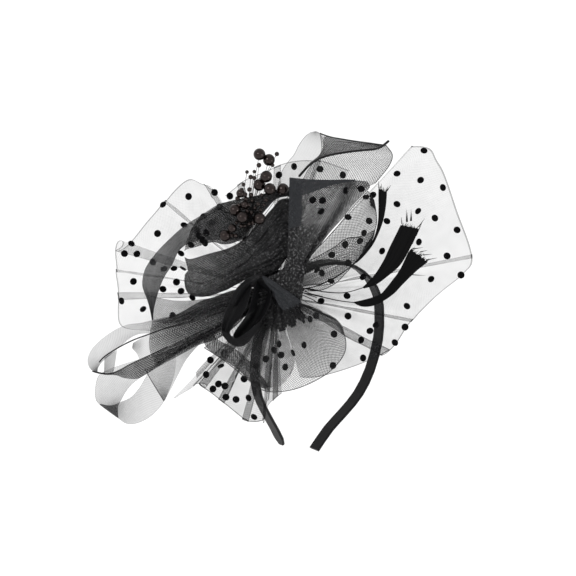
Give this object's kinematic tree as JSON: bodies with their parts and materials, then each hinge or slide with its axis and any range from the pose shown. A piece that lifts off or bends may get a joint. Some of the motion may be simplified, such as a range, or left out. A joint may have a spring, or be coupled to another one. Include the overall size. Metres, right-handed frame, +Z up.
{
  "type": "feather headband",
  "caption": "Arched dress headband with a large one-sided flower of dotted tulle, mesh ribbon loops, organza, feathers and round beads.",
  "frame": {"origin": "crown seat: the middle of the band's underside at its top, where it sits on the head", "axes": "+Z up out of the head, +X from the wearer's right ear to the left one, and the wearer faces -Y"},
  "size_m": [0.2575, 0.205, 0.2595],
  "materials": {
    "band_satin": "black satin ribbon wrapped round the band",
    "base_felt": "black felt and binding thread",
    "dotted_tulle": "fine black tulle with flocked dots",
    "mesh_ribbon": "black crinoline mesh with a slight gloss",
    "organza": "sheer black organza",
    "feather": "black feather",
    "bead": "glossy brown-black pearl"
  },
  "bodies": {
    "root": {"headband": "band_satin", "flower_base": "base_felt", "veil_right": "dotted_tulle", "veil_left": "dotted_tulle", "veil_top": "dotted_tulle", "veil_low": "dotted_tulle", "crin_loop_left": "mesh_ribbon", "crin_loop_top": "mesh_ribbon", "crin_petal_right": "mesh_ribbon", "crin_petal_low": "mesh_ribbon", "crin_fold_low": "mesh_ribbon", "ribbon_loop_upper": "mesh_ribbon", "ribbon_loop_lower": "mesh_ribbon", "ribbon_bundle": "mesh_ribbon", "dish": "mesh_ribbon", "dish_inner": "mesh_ribbon", "organza_leaf": "organza", "bud_petal_back": "organza", "bud_petal_left": "organza", "bud_petal_right": "organza", "organza_tail": "organza", "feather_short": "feather", "feather_middle": "feather", "feather_long": "feather", "bead_spray": "bead"}
  },
  "joints": []
}
